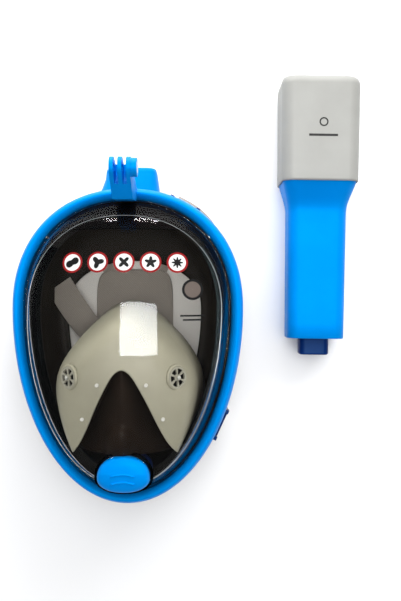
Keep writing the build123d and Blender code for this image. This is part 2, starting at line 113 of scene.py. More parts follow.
def dome_z(x, y, shrink=0.0):
    """Height of the visor's crown over a point, drawn in by shrink."""
    width_radius = WIDTH_RADIUS - shrink
    across = width_radius - math.sqrt(max(width_radius**2 - x * x, 0))
    along = LENGTH_RADIUS - shrink - across
    return DOME_TOP - LENGTH_RADIUS + math.sqrt(max(along**2 - (y - DOME_Y) ** 2, 0))


def visor_size(rise):
    """Half width, top and bottom of the visor's wall, rise going from 0 at its shoulder to 1 at its face."""
    foot = (HALF_WIDTH - FOOT_INSET, TOP - FOOT_INSET, BOTTOM - FOOT_INSET)
    return [low + (high - low) * rise for low, high in zip(foot, FACE)]


# ---------------------------------------------------------------- mesh building


def make_piece(name, points, faces, body, slot, material, stands_for=(), smooth=True, inside=None):
    """A mesh piece from points in the row frame, that rides on a body and takes the place of CAD nodes.

    An open surface turns its faces away from the point inside. A piece given no body is not attached.
    """
    mesh = bpy.data.meshes.new(name)
    mesh.from_pydata([tuple(p) for p in points], [], faces)
    mesh.validate()
    piece = bpy.data.objects.new(name, mesh)
    bpy.context.scene.collection.objects.link(piece)
    clean = bmesh.new()
    clean.from_mesh(mesh)
    bmesh.ops.remove_doubles(clean, verts=clean.verts, dist=1e-6)
    bmesh.ops.recalc_face_normals(clean, faces=clean.faces)
    if inside is not None:
        clean.normal_update()
        if sum((f.calc_center_median() - inside).dot(f.normal) * f.calc_area() for f in clean.faces) < 0:
            bmesh.ops.reverse_faces(clean, faces=clean.faces)
    clean.to_mesh(mesh)
    clean.free()
    for polygon in mesh.polygons:
        polygon.use_smooth = smooth
    mesh.materials.append(material)
    if body:
        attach(piece, body)
    if stands_for:
        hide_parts(*stands_for)
    return piece


def skin(loops, wrap=True, close_rows=False, cap_start=False, cap_end=False):
    """Points and faces of a surface through loops of equal length."""
    count = len(loops[0])
    points = [p for loop in loops for p in loop]
    faces = []
    rows = len(loops) if close_rows else len(loops) - 1
    for row in range(rows):
        below, above = row * count, (row + 1) % len(loops) * count
        for i in range(count if wrap else count - 1):
            j = (i + 1) % count
            faces.append((below + i, below + j, above + j, above + i))
    if cap_start:
        faces.append(tuple(range(count)))
    if cap_end:
        faces.append(tuple(range((len(loops) - 1) * count, len(loops) * count)))
    return points, faces


def ring_piece(name, profile, body, slot, material, stands_for=(), around=AROUND):
    """A closed section of (inset, z) points carried round the frame's oval."""
    loops = []
    for inset, z in profile:
        loops.append([mask_point(*frame_oval(inset, i / around), z) for i in range(around)])
    points, faces = skin(loops, close_rows=True)
    return make_piece(name, points, faces, body, slot, material, stands_for)


def open_holes(mesh, covered):
    """Takes out the faces of a skin whose middles lie where something passes through it."""
    clean = bmesh.new()
    clean.from_mesh(mesh)
    gone = [face for face in clean.faces if covered(face.calc_center_median())]
    bmesh.ops.delete(clean, geom=gone, context="FACES")
    clean.to_mesh(mesh)
    clean.free()


def thicken(piece, thickness, offset=-1.0):
    """Gives a surface a wall, which grows inwards for offset -1."""
    wall = piece.modifiers.new("wall", "SOLIDIFY")
    wall.thickness = thickness * MM
    wall.offset = offset
    wall.use_even_offset = True
    return piece


def soften(piece, width, segments=3, angle=30):
    bevel = piece.modifiers.new("edges", "BEVEL")
    bevel.width = width * MM
    bevel.segments = segments
    bevel.limit_method = "ANGLE"
    bevel.angle_limit = math.radians(angle)
    bevel.harden_normals = False
    return piece


def subdivide(piece, levels):
    smooth = piece.modifiers.new("smooth", "SUBSURF")
    smooth.levels = smooth.render_levels = levels
    return piece


def spline_through(points, steps):
    """Catmull-Rom points through a list of vectors."""
    result = []
    for i in range(len(points) - 1):
        before = points[max(i - 1, 0)]
        start, end = points[i], points[i + 1]
        after = points[min(i + 2, len(points) - 1)]
        for step in range(steps):
            t = step / steps
            result.append(0.5 * (2 * start + (end - before) * t + (2 * before - 5 * start + 4 * end - after)
                                 * t * t
                                 + (3 * start - before - 3 * end + after) * t**3))
    result.append(points[-1].copy())
    return result


def ribbon(path, side, width, thickness, steps=8):
    """Points and faces of a flat strap along a path, its width along side."""
    line = spline_through(path, steps)
    side = side.normalized()
    section = [(-1, -0.4), (-0.96, -1), (0.96, -1), (1, -0.4), (1, 0.4), (0.96, 1), (-0.96, 1), (-1, 0.4)]
    loops = []
    for i, point in enumerate(line):
        ahead = line[min(i + 1, len(line) - 1)] - line[max(i - 1, 0)]
        normal = ahead.cross(side).normalized()
        loops.append([point + side * (a * width / 2) + normal * (b * thickness / 2) for a, b in section])
    return skin(loops, cap_start=True, cap_end=True)


def tube_along(path, radius, sides=10, closed=False):
    """Points and faces of a round bead along a path."""
    loops = []
    count = len(path)
    for i, point in enumerate(path):
        ahead = path[(i + 1) % count] - path[i - 1] if closed else path[min(i + 1,
                                                                            count - 1)] - path[max(i - 1, 0)]
        across = ahead.cross(Vector((0, 0, 1))).normalized()
        up = across.cross(ahead).normalized()
        turns = [2 * math.pi * k / sides for k in range(sides)]
        loops.append([point + across * (radius * math.cos(a)) + up * (radius * math.sin(a)) for a in turns])
    return skin(loops, close_rows=closed, cap_start=not closed, cap_end=not closed)


# ---------------------------------------------------------------- materials


class Shader:
    """A procedural material round one Principled shader."""

    def __init__(self, name):
        self.material = bpy.data.materials.new(name)
        self.material.use_nodes = True
        self.nodes, self.links = self.material.node_tree.nodes, self.material.node_tree.links
        self.principled = self.nodes["Principled BSDF"]
        self.output = self.nodes["Material Output"]
        self.place = self.nodes.new("ShaderNodeTexCoord").outputs["Object"]

    def set(self, **values):
        for key, value in values.items():
            self.principled.inputs[key.replace("_", " ")].default_value = value
        return self

    def noise(self, scale, detail=3.0, roughness=0.55):
        node = self.nodes.new("ShaderNodeTexNoise")
        node.inputs["Scale"].default_value = scale
        node.inputs["Detail"].default_value = detail
        node.inputs["Roughness"].default_value = roughness
        self.links.new(self.place, node.inputs["Vector"])
        return node.outputs["Fac"]

    def remap(self, source, low, high, new_low, new_high):
        node = self.nodes.new("ShaderNodeMapRange")
        values = zip(("From Min", "From Max", "To Min", "To Max"), (low, high, new_low, new_high))
        for key, value in values:
            node.inputs[key].default_value = value
        self.links.new(source, node.inputs["Value"])
        return node.outputs["Result"]

    def colours(self, source, first, second):
        node = self.nodes.new("ShaderNodeMix")
        node.data_type = "RGBA"
        node.inputs["A"].default_value = (*first, 1)
        node.inputs["B"].default_value = (*second, 1)
        self.links.new(source, node.inputs["Factor"])
        return node.outputs["Result"]

    def bump(self, source, height, strength=1.0):
        node = self.nodes.new("ShaderNodeBump")
        node.inputs["Distance"].default_value = height * MM
        node.inputs["Strength"].default_value = strength
        self.links.new(source, node.inputs["Height"])
        self.links.new(node.outputs["Normal"], self.principled.inputs["Normal"])
        return node

    def feed(self, key, source):
        self.links.new(source, self.principled.inputs[key])


def moulded(name, first, second, rough, grain=1800.0, grain_height=0.02, cloud=22.0, coat=0.0, shine=0.5,
            tint=(1.0, 1.0, 1.0)):
    """Moulded plastic or silicone: soft colour clouds, scuffed gloss and a fine grain."""
    shader = Shader(name)
    clouds = shader.remap(shader.noise(cloud, 4.0), 0.35, 0.65, 0.0, 1.0)
    shader.feed("Base Color", shader.colours(clouds, first, second))
    scuffs = shader.noise(cloud * 9, 6.0, 0.7)
    shader.feed("Roughness", shader.remap(scuffs, 0.3, 0.7, rough - 0.05, rough + 0.07))
    shader.bump(shader.noise(grain, 2.0), grain_height)
    shader.set(Coat_Weight=coat, Coat_Roughness=0.12, Specular_IOR_Level=shine, Specular_Tint=(*tint, 1))
    return shader.material


def see_through(name, tint, film, rough, least, most, cloud=30.0, blend=0.12):
    """Clear moulding: what is behind shows through a tint, under a mirror film stronger at the edges."""
    shader = Shader(name)
    clouds = shader.noise(cloud, 3.0)
    shader.feed("Base Color", shader.colours(clouds, film, [c * 0.9 for c in film]))
    shader.feed("Roughness", shader.remap(shader.noise(cloud, 2.0), 0.3, 0.7, rough, rough + 0.02))
    shader.bump(shader.noise(12.0, 1.0), 0.01)
    shader.set(Metallic=1.0)
    clear = shader.nodes.new("ShaderNodeBsdfTransparent")
    clear.inputs["Color"].default_value = (*tint, 1)
    edge = shader.nodes.new("ShaderNodeLayerWeight")
    edge.inputs["Blend"].default_value = blend
    mix = shader.nodes.new("ShaderNodeMixShader")
    shader.links.new(shader.remap(edge.outputs["Fresnel"], 0.0, 1.0, least, most), mix.inputs["Fac"])
    shader.links.new(clear.outputs["BSDF"], mix.inputs[1])
    shader.links.new(shader.principled.outputs["BSDF"], mix.inputs[2])
    shader.links.new(mix.outputs["Shader"], shader.output.inputs["Surface"])
    return shader.material


def webbing(name, first, second):
    """Woven elastic: fine ribs along and across, with worn lighter threads."""
    shader = Shader(name)
    ribs = shader.nodes.new("ShaderNodeTexWave")
    ribs.inputs["Scale"].default_value = 420.0
    ribs.inputs["Distortion"].default_value = 1.2
    ribs.inputs["Detail"].default_value = 2.0
    ribs.bands_direction = "DIAGONAL"
    shader.links.new(shader.place, ribs.inputs["Vector"])
    threads = shader.remap(ribs.outputs["Fac"], 0.2, 0.8, 0.0, 1.0)
    shader.feed("Base Color", shader.colours(threads, first, second))
    shader.feed("Roughness", shader.remap(shader.noise(300.0), 0.3, 0.7, 0.7, 0.9))
    shader.bump(ribs.outputs["Fac"], 0.25)
    shader.set(Sheen_Weight=0.3, Sheen_Roughness=0.5)
    return shader.material


BLUE = moulded("blue_plastic", (0.0, 0.25, 0.77), (0.0, 0.228, 0.71), 0.42, shine=0.12, tint=(0.0, 0.5, 1.0))
NAVY = moulded("navy_plastic", (0.002, 0.028, 0.17), (0.001, 0.02, 0.13), 0.4, shine=0.1,
               tint=(0.3, 0.6, 1.0))
BLACK_GLOSS = moulded("black_gloss", (0.002, 0.002, 0.002), (0.004, 0.003, 0.003), 0.3, grain_height=0.002,
                      shine=0.0)
BLACK = moulded("black_plastic", (0.006, 0.006, 0.006), (0.011, 0.01, 0.009), 0.5, shine=0.03)
SKIRT = moulded("black_silicone", (0.014, 0.0105, 0.007), (0.021, 0.0165, 0.0115), 0.5, grain_height=0.01,
                shine=0.03)
# Darker, browner copy of the skirt's black silicone for the chin keel: painted shade for the dim inside behind
# the pocket's V.
SHADED_KEEL = moulded("chin_silicone_painted_shade", (0.012, 0.0075, 0.005), (0.02, 0.013, 0.009), 0.45, grain_height=0.01,
               shine=0.03)
SILICONE = moulded("grey_silicone", (0.40, 0.395, 0.315), (0.345, 0.34, 0.27), 0.5, grain_height=0.03,
                   shine=0.25)
WHITE = moulded("white_plastic", (0.70, 0.71, 0.70), (0.63, 0.64, 0.63), 0.4, shine=0.1)
SEAT = moulded("valve_seat", (0.42, 0.42, 0.36), (0.36, 0.36, 0.31), 0.4, shine=0.1)
SOFT_CLEAR = moulded("clear_silicone", (0.62, 0.64, 0.62), (0.54, 0.56, 0.54), 0.3, shine=0.2)
GREY = moulded("grey_plastic", (0.345, 0.345, 0.325), (0.315, 0.315, 0.295), 0.46, grain=1500.0,
               grain_height=0.03,
               shine=0.12)
STEEL = moulded("steel", (0.55, 0.55, 0.54), (0.42, 0.42, 0.41), 0.30)
STEEL.node_tree.nodes["Principled BSDF"].inputs["Metallic"].default_value = 1.0
FOAM = moulded("float_foam", (0.78, 0.78, 0.74), (0.70, 0.70, 0.66), 0.7, grain_height=0.12)
WEB = webbing("strap_webbing", (0.32, 0.285, 0.255), (0.47, 0.43, 0.39))
VISOR = see_through("clear_visor", (0.95, 0.94, 0.92), (0.92, 0.95, 1.0), 0.035, 0.008, 0.5, blend=0.05)
DUCT = see_through("smoke_duct", (0.16, 0.22, 0.25), (0.45, 0.65, 0.75), 0.12, 0.002, 0.3, blend=0.05)
# Pale bead along the lens edge: a painted glint on the clear visor.
EDGE_GLINT = moulded("lens_edge_painted_glint", (0.36, 0.40, 0.42), (0.16, 0.18, 0.19), 0.15, cloud=9.0)
RED = moulded("red_print", (0.26, 0.008, 0.009), (0.22, 0.006, 0.008), 0.4, shine=0.1)
STAMP = moulded("stamp_print", (0.10, 0.08, 0.07), (0.13, 0.105, 0.09), 0.45, shine=0.1)
PRINT = moulded("black_print", (0.006, 0.006, 0.006), (0.01, 0.01, 0.01), 0.45, shine=0.1)

CAD_MATERIALS = {
    "blue_plastic": BLUE, "navy_plastic": NAVY, "clear_visor": VISOR, "black_gloss": BLACK_GLOSS,
    "black_plastic": BLACK, "black_silicone": SKIRT, "smoke_duct": DUCT, "grey_silicone": SILICONE,
    "white_plastic": WHITE, "clear_silicone": SOFT_CLEAR, "steel": STEEL, "grey_plastic": GREY,
    "strap_webbing": WEB, "float_foam": FOAM,
}
for entry in frame["record"]["subparts"]:
    node = frame["nodes"][entry["node"]]
    node.data.materials.clear()
    node.data.materials.append(CAD_MATERIALS[entry["material_slot"]])


# ---------------------------------------------------------------- bezel, visor and liner


def build_bezel():
    z, crown = BEZEL_Z, BEZEL_TOP
    profile = [(0.4, z), (0.0, z + 0.6), (0.1, z + 3.6), (0.55, z + 6.4), (1.4, z + 8.9), (2.6, z + 10.8),
               (3.9, crown), (5.0, crown - 0.1), (6.4, crown - 0.9), (7.7, crown - 2.5), (8.7, crown - 4.8),
               (9.3, crown - 7.2), (RING_WIDTH, crown - 9), (RING_WIDTH, z)]
    ring_piece("bezel", profile, "mask", "blue_plastic", BLUE, ["front_bezel"])


def visor_loops(shrink, start_z, rises, scales):
    """Loops of the visor's surface, from its foot up its wall and over its crown."""
    loops = []
    for z in start_z:
        size = [s - shrink for s in visor_size(0)]
        loops.append([mask_point(*oval(*size, i / AROUND), z) for i in range(AROUND)])
    for rise in rises:
        size = [s - shrink for s in visor_size(rise)]
        wall_z = SHOULDER_Z + (FACE_Z - SHOULDER_Z) * rise
        loop = []
        for i in range(AROUND):
            x, y = oval(*size, i / AROUND)
            loop.append(mask_point(x, y, smooth_min(wall_z, dome_z(x, y, shrink), SHOULDER_ROUND)))
        loops.append(loop)
    last = [s - shrink for s in visor_size(rises[-1])]
    for scale in scales:
        loop = []
        for i in range(AROUND):
            x, y = oval(*[s * scale for s in last], i / AROUND)
            loop.append(mask_point(x, y, dome_z(x, y, shrink)))
        loops.append(loop)
    return loops


def build_visor():
    rises = [i / 16 for i in range(23)]
    scales = [1 - i / 26 for i in range(1, 26)] + [0.015]
    loops = visor_loops(0.0, (BEZEL_Z - 1.5, 58.0, 62.0, 65.0), rises, scales)
    points, faces = skin(loops, cap_end=True)
    visor = make_piece("visor_shell", points, faces, "mask", "clear_visor", VISOR, ["visor"],
                       inside=MASK_MIDDLE)
    # The chin valve's housing passes through the visor, in an oval hole whose edge its wall hides
    chin = mask_point(0, CHIN_Y, 0)
    half_width, half_length = 18.8 * MM, 12.1 * MM
    open_holes(visor.data, lambda p: math.hypot((p.x - chin.x) / half_width,
                                                (p.y - chin.y) / half_length) < 1)
    thicken(visor, VISOR_WALL)


def window_edge(turn, inset=WINDOW_INSET, flat=WINDOW_TOP):
    """Edge of the clear window: the frame's oval, cut straight across the forehead."""
    x, y = frame_oval(inset, turn)
    return x, smooth_min(y, flat, 5.0)


def build_liner():
    """Black band between the visor's foot and the clear window, close under the visor."""
    loops = []
    steps = 14
    for step in range(steps + 1):
        share = step / steps
        loop = []
        for i in range(AROUND):
            x0, y0 = frame_oval(FOOT_INSET + VISOR_WALL + 0.4, i / AROUND)
            x1, y1 = window_edge(i / AROUND)
            x, y = x0 + (x1 - x0) * share, y0 + (y1 - y0) * share
            loop.append(mask_point(x, y, under_visor(x, y, VISOR_WALL + 1.0)))
        loops.append(loop)
    points, faces = skin(loops)
    liner = make_piece("liner_band", points, faces, "mask", "black_gloss", BLACK_GLOSS, ["visor_liner"])
    thicken(liner, 1.2, 0)


def wall_z(x, y, shrink):
    """Height of the visor's wall over a point, found by halving."""
    low, high = 0.0, 1.6
    for _ in range(30):
        rise = (low + high) / 2
        half_width, top, bottom = [s - shrink for s in visor_size(rise)]
        height, power = (top, TOP_POWER) if y > 0 else (bottom, BOTTOM_POWER)
        if abs(x / half_width) ** power + abs(y / height) ** power < 1:
            low = rise
        else:
            high = rise
    return SHOULDER_Z + (FACE_Z - SHOULDER_Z) * low


def under_visor(x, y, gap):
    """Height of a surface that follows the visor from below, gap away from its outside."""
    return smooth_min(wall_z(x, y, gap), dome_z(x, y, gap), SHOULDER_ROUND)


def build_lens_edge_glint():
    """Thin pale bead where the visor's face meets its wall: a painted glint, wider low down and on the right,
    finer across the forehead.
    """
    path, radii = [], []
    for i in range(AROUND):
        turn = i / AROUND
        x, y = oval(72.3, 69.4, 132.2, turn)
        path.append(mask_point(x, y, under_visor(x, y, 0) + 0.1))
        # The bead is widest low down and on the right, where the painted glint is brightest.
        low_side = min(max((50 - y) / 90, 0), 1)
        radii.append((0.12 + (0.34 if x > 0 else 0.2) * low_side) * MM)
    loops = []
    for i, point in enumerate(path):
        ahead = (path[(i + 1) % AROUND] - path[i - 1]).normalized()
        across = ahead.cross(Vector((0, 0, 1))).normalized()
        up = across.cross(ahead)
        turns = [2 * math.pi * k / 8 for k in range(8)]
        loops.append([point + (across * math.cos(a) + up * math.sin(a)) * radii[i] for a in turns])
    points, faces = skin(loops, close_rows=True)
    make_piece("lens_edge", points, faces, "mask", "clear_visor", EDGE_GLINT)


build_bezel()
build_visor()
build_liner()
build_lens_edge_glint()

# ---------------------------------------------------------------- nose pocket

# Half of the pocket's outline seen from the front and half of the edge of its V opening, from the middle out
OUTLINE = [(0, 3), (10, 0), (19, -6.5), (28, -14.5), (38, -24.5), (47, -36.5), (53.5, -49), (54.8, -64),
           (50.5, -83), (45, -99), (40, -108)]
V_EDGE = [(0, -43.5), (4, -45.5), (7.5, -49), (12, -57), (16.5, -65.5), (20.7, -74.4), (24.9, -84.1),
          (29.3, -93.4), (33, -100), (36, -104), (39, -107.5)]


def both_sides(half):
    """A curve over both sides of the mask from its right half, left end first."""
    return [(-x, y) for x, y in reversed(half[1:])] + list(half)


def build_pocket():
    outline, edge = both_sides(OUTLINE), both_sides(V_EDGE)
    loops = []
    for grow, z in ((1.09, 26), (1.05, 44), (1.015, 60)):
        loops.append([mask_point(x * grow, (y + 50) * grow - 50, z) for x, y in outline])
    for share in (0.0, 0.07, 0.15, 0.27, 0.42, 0.6, 0.8, 1.0):
        loop = []
        for (x0, y0), (x1, y1) in zip(outline, edge):
            x, y = x0 + (x1 - x0) * share, y0 + (y1 - y0) * share
            rise = 1 - (1 - min(share / 0.6, 1)) ** 3
            loop.append(mask_point(x, y, 71 + (under_visor(x, y, 5.0) - 71) * rise))
        loops.append(loop)
    points, faces = skin(loops, wrap=False)
    pocket = make_piece("oral_nasal_pocket", points, faces, "mask", "grey_silicone", SILICONE,
                        ["nose_pocket"],
                        inside=mask_point(0, -60, 30))
    subdivide(pocket, 3)
    # Smooth the skin first, then open the two round holes that the inhale valves sit in
    smooth = bpy.data.meshes.new_from_object(pocket.evaluated_get(bpy.context.evaluated_depsgraph_get()))
    pocket.modifiers.clear()
    pocket.data = smooth
    spots = [valve_frame(sign)[:2] for sign in (-1, 1)]

    def at_valve(point):
        for place, axis in spots:
            away = point - place
            if abs(away.dot(axis)) < 0.02 and (away - axis * away.dot(axis)).length < (VALVE_R + 0.2) * MM:
                return True
        return False

    open_holes(smooth, at_valve)
    thicken(pocket, 1.8)



def valve_frame(sign):
    """Place, outward axis and two directions across an inhale valve."""
    tilt = math.radians(43.0)
    axis = Vector((sign * math.sin(tilt), 0, math.cos(tilt)))
    across = Vector((0, 1, 0))
    return mask_point(sign * VALVE_X, VALVE_Y, 95.5), axis, across, axis.cross(across)


def turned_points(frame_of, profile, steps):
    """Loops of a (radius, height) profile turned round an axis."""
    place, axis, across, along = frame_of
    loops = []
    for radius, height in profile:
        turns = [2 * math.pi * k / steps for k in range(steps)]
        loops.append([place + axis * (height * MM)
                      + (across * math.cos(a) + along * math.sin(a)) * (radius * MM)
                      for a in turns])
    return loops


def build_inhale_valve(side, sign):
    spot = valve_frame(sign)
    place, axis, across, along = spot
    r = VALVE_R
    rim = [(r - 0.1, -1.0), (r - 0.1, 0.4), (r + 0.2, 0.9), (r + 0.8, 0.9), (r + 1.4, 0.2), (r + 1.6, -1.2),
           (r + 1, -1.4)]
    points, faces = skin(turned_points(spot, rim, 56), close_rows=True)
    make_piece(f"{side}_valve_rim", points, faces, "mask", "grey_silicone", SILICONE)
    # Seat: an outer ring, a hub and six spokes between sector holes
    rings, steps = (0.0, 2.5, 6.7, r), 96
    points, faces = [], []
    for radius in rings:
        for k in range(steps):
            a = 2 * math.pi * k / steps
            points.append(place + (across * math.cos(a) + along * math.sin(a)) * (radius * MM)
                          + axis * (0.9 * MM))
    for ring in range(3):
        for k in range(steps):
            if ring == 1 and k % 16 >= 4:
                continue
            j = (k + 1) % steps
            faces.append((ring * steps + k, ring * steps + j, (ring + 1) * steps + j, (ring + 1) * steps + k))
    seat = make_piece(f"{side}_valve_seat", points, faces, "mask", "white_plastic", SEAT,
                      [f"{side}_inhale_seat"],
                      smooth=False, inside=place - axis * 0.02)
    thicken(seat, 1.4)
    # The flap takes black plastic, not clear silicone: painted shade, so the seat's sector holes read dark.
    flap = [(0.0, -1.2), (r - 0.9, -1.2), (r - 0.7, -1.4), (r - 0.7, -1.7), (r - 1, -1.8), (0.0, -1.8)]
    points, faces = skin(turned_points(spot, flap, 48))
    make_piece(f"{side}_valve_flap", points, faces, f"{side}_inhale_disc", "clear_silicone", BLACK,
               [f"{side}_inhale_disc"])
    stem = [(0.0, -1.8), (0.8, -1.8), (0.8, 2.0), (1.5, 2.2), (1.5, 2.6), (1.1, 3.0), (0.0, 3.1)]
    points, faces = skin(turned_points(spot, stem, 24))
    make_piece(f"{side}_valve_stem", points, faces, f"{side}_inhale_disc", "clear_silicone", SOFT_CLEAR)


build_pocket()
build_inhale_valve("left", -1)
build_inhale_valve("right", 1)

# ---------------------------------------------------------------- face skirt

MOUTH = (57.0, 40.0, 118.0)


def chin_keel():
    """The skirt's chin part behind the V: two leaves that meet in a ridge, and a rounded low end."""
    rows, across_steps = 30, 16
    loops = []
    for row in range(rows + 1):
        y = -39.0 - 70.0 * row / rows
        half = 3.0 + max(0.0, -41.0 - y) * 0.60
        low = min(row / rows * 1.6, 1.0)
        loop = []
        for step in range(-across_steps, across_steps + 1):
            u = step / across_steps
            x = half * 1.12 * u
            roof = under_visor(x, y, 8.2)
            drop = (4 + 17 * low) * min(abs(u) / 0.8, 1) ** 1.5
            tuck = 12 * max(abs(u) - 0.8, 0) / 0.2 * low
            tongue = max(0.0, 1 - ((x + 3) / 12) ** 2 - ((y + 101) / 15) ** 2)
            loop.append(mask_point(x, y, roof - drop + tuck + 7 * tongue**0.5))
        loops.append(loop)
    return skin(loops, wrap=False)


def build_skirt():
    """Black silicone seal: flange under the frame, curved wall and a wide lip rolled at the face opening."""
    rows = [(0, 3.2, 52), (0, 10.8, 52), (0, 12.0, 42), (0, 14.2, 24), (0, 16.4, 9), (0, 18.5, 3.0),
            (0.15, 20, 2.0),
            (0.8, 22, 2.0), (0.96, 24, 2.3), (1.0, 24, 3.4), (0.98, 24, 4.9), (0.9, 24, 5.6), (0.7, 24, 5.0),
            (0.4, 23, 5.4), (0.15, 22, 7.5), (0, 20.5, 12), (0, 17.6, 24), (0, 15.0, 42), (0, 13.6, 50),
            (0, 13.9, 54), (0, 3.2, 54)]
    loops = []
    for share, inset, z in rows:
        loop = []
        for i in range(AROUND):
            x0, y0 = frame_oval(inset, i / AROUND)
            x1, y1 = oval(*MOUTH, i / AROUND)
            x, y = x0 + (x1 - x0) * share, y0 + (y1 - y0) * share
            forehead = max(0.0, y / TOP) ** 2
            lift = 9.0 * forehead * math.sin(math.pi * min(share, 0.95)) if z > 4.5 else 0.0
            loop.append(mask_point(x, y, z + lift))
        loops.append(loop)
    points, faces = skin(loops, close_rows=True)
    make_piece("skirt", points, faces, "mask", "black_silicone", SKIRT, ["face_skirt"])
    # The keel takes the darker copy of the skirt's silicone: painted shade behind the V.
    keel = make_piece("skirt_chin_keel", *chin_keel(), "mask", "black_silicone", SHADED_KEEL,
                      inside=mask_point(0, -80, 30))
    thicken(keel, 1.6)


build_skirt()

# ---------------------------------------------------------------- chin valve cap


def d_oval(half_width, top, bottom, power, turn):
    angle = 2 * math.pi * turn
    cosine, sine = math.cos(angle), math.sin(angle)
    x = half_width * math.copysign(abs(cosine) ** (2 / power), cosine)
    return x, (top if sine > 0 else bottom) * math.copysign(abs(sine) ** (2 / power), sine)


def build_chin_cap():
    """Half-moon button with a domed face and two curved grip ribs."""
    low_y = CHIN_Y - 3.0
    steps, loops = 96, []
    rows = [(0.90, 90.2), (1.0, 90.4), (1.0, 92.6), (0.985, 94.2), (0.95, 95.6), (0.88, 96.8), (0.78, 97.6),
            (0.6, 98.2), (0.4, 98.5), (0.2, 98.6), (0.02, 98.6)]
    for size, z in rows:
        loop = []
        for i in range(steps):
            x, y = d_oval(19.4 * size, 16.8 * size, 10.8 * size, 2.15, i / steps)
            y += 5 * (1 - size)
            loop.append(mask_point(x, low_y + y, z + 0.14 * min(y, 4)))
        loops.append(loop)
    points, faces = skin(loops, cap_start=True, cap_end=True)
    make_piece("chin_cap_button", points, faces, "mask", "blue_plastic", BLUE, ["chin_valve_cap"])
    for number, (rib_y, crest) in enumerate(((CHIN_Y + 1.2, 99.0), (CHIN_Y - 4.6, 98.2))):
        path = []
        for step in range(17):
            x = -8.5 + step * 17 / 16
            fall = math.sqrt(22**2 - x * x) - 22
            path.append(mask_point(x, rib_y + fall, crest - (abs(x) / 8.5) ** 4 * 0.5))
        points, faces = tube_along(path, 0.8 * MM)
        make_piece(f"chin_cap_rib_{number + 1}", points, faces, "mask", "blue_plastic", BLUE)
    collar = []
    for size, z in ((1.03, 88.0), (1.03, 90.9), (1.06, 91.5), (1.10, 91.2), (1.12, 90.0), (1.12, 86.0)):
        collar.append([mask_point(*[a + b for a, b in zip((0, low_y), d_oval(19.4 * size, 16.8 * size,
                       10.8 * size, 2.15, i / steps))], z) for i in range(steps)])
    points, faces = skin(collar, close_rows=True)
    make_piece("chin_collar", points, faces, "mask", "smoke_duct", DUCT)


build_chin_cap()

# ---------------------------------------------------------------- harness


def build_pad():
    low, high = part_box("rear_pad")
    middle, half = (low + high) / 2, (high - low) / 2
    steps, loops = 96, []
    for inset, z in ((1.6, 0.0), (0.4, 0.5), (0, 1.4), (0.5, 2.4), (1.6, 2.9), (5, 2.7), (8, 3.0), (20, 2.9),
                     (32, 3.0)):
        size = [max(h - inset * MM, 0.4 * MM) for h in (half.x, half.y)]
        loops.append([middle.xy.to_3d() + Vector((*d_oval(size[0], size[1], size[1], 7.0, i / steps), z * MM))
                      for i in range(steps)])
    points, faces = skin(loops, cap_start=True, cap_end=True)
    make_piece("back_pad", points, faces, "mask", "strap_webbing", WEB, ["rear_pad"])


CLIPS = {
    "upper_left": (-43.5, 82.3, 117.0, 58), "upper_right": (43.5, 82.3, 63.0, 58),
    "lower_left": (-71.5, -93.0, 204.6, 54), "lower_right": (71.5, -93.0, -24.6, 54),
}


def build_strap(name, x, y, heading, reach):
    """Webbing from a clip's slot, down to the surface and in under the skirt to the pad."""
    angle = math.radians(heading)
    outward = Vector((math.cos(angle), math.sin(angle), 0))
    side = Vector((-outward.y, outward.x, 0))
    profile = [(2.2, 26), (3.6, 22), (3.0, 14), (2.6, 6), (1.0, 1.6), (-4, 0.9), (-20, 0.9), (-reach, 1.0)]
    start = mask_point(x, y, 0)
    path = [start + outward * (a * MM) + Vector((0, 0, z * MM)) for a, z in profile]
    points, faces = ribbon(path, side, 18 * MM, 1.5 * MM)
    if name == "upper_left":
        # Slack of the strap, folded in over the lip of the skirt
        slack = [mask_point(*p) for p in ((-38, -19, 4.4), (-44, -11, 7.8), (-53, 2, 9.0), (-60, 13, 9.2),
                                          (-64, 19.5, 10.4))]
        more, others = ribbon(slack, Vector((0.82, 0.57, 0)), 23 * MM, 1.4 * MM)
        shift = len(points)
        points, faces = points + more, faces + [tuple(i + shift for i in face) for face in others]
    if name == "upper_right":
        # Free end of the strap, lying along the outside of the frame
        tail = [mask_point(*p) for p in ((36, 88, 20), (45, 83.5, 19), (54, 77.5, 17.5), (61.5, 70.5, 15.5),
                                         (67, 63, 13))]
        more, others = ribbon(tail, Vector((0.45, 0.89, 0)), 12 * MM, 1.2 * MM)
        shift = len(points)
        points, faces = points + more, faces + [tuple(i + shift for i in face) for face in others]
    webbing_piece = make_piece(f"{name}_webbing", points, faces, None, "strap_webbing", WEB,
                               [f"{name}_strap"])
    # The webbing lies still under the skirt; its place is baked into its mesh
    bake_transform(webbing_piece)


build_pad()
for clip_name, (clip_x, clip_y, clip_heading, clip_reach) in CLIPS.items():
    build_strap(clip_name, clip_x, clip_y, clip_heading, clip_reach)

# ---------------------------------------------------------------- camera fork, clips and socket


def bevelled_copy(node, body, material, width):
    """The CAD piece again, with its hard edges rounded."""
    source = frame["nodes"][node]
    piece = bpy.data.objects.new(f"{node}_rounded", source.data.copy())
    piece.matrix_world = source.matrix_world.copy()
    bpy.context.scene.collection.objects.link(piece)
    piece.data.materials.clear()
    piece.data.materials.append(material)
    clean = bmesh.new()
    clean.from_mesh(piece.data)
    bmesh.ops.remove_doubles(clean, verts=clean.verts, dist=1e-6)
    bmesh.ops.dissolve_limit(clean, angle_limit=math.radians(2), verts=clean.verts, edges=clean.edges)
    clean.to_mesh(piece.data)
    clean.free()
    for polygon in piece.data.polygons:
        polygon.use_smooth = True
    soften(piece, width)
    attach(piece, body)
    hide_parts(node)


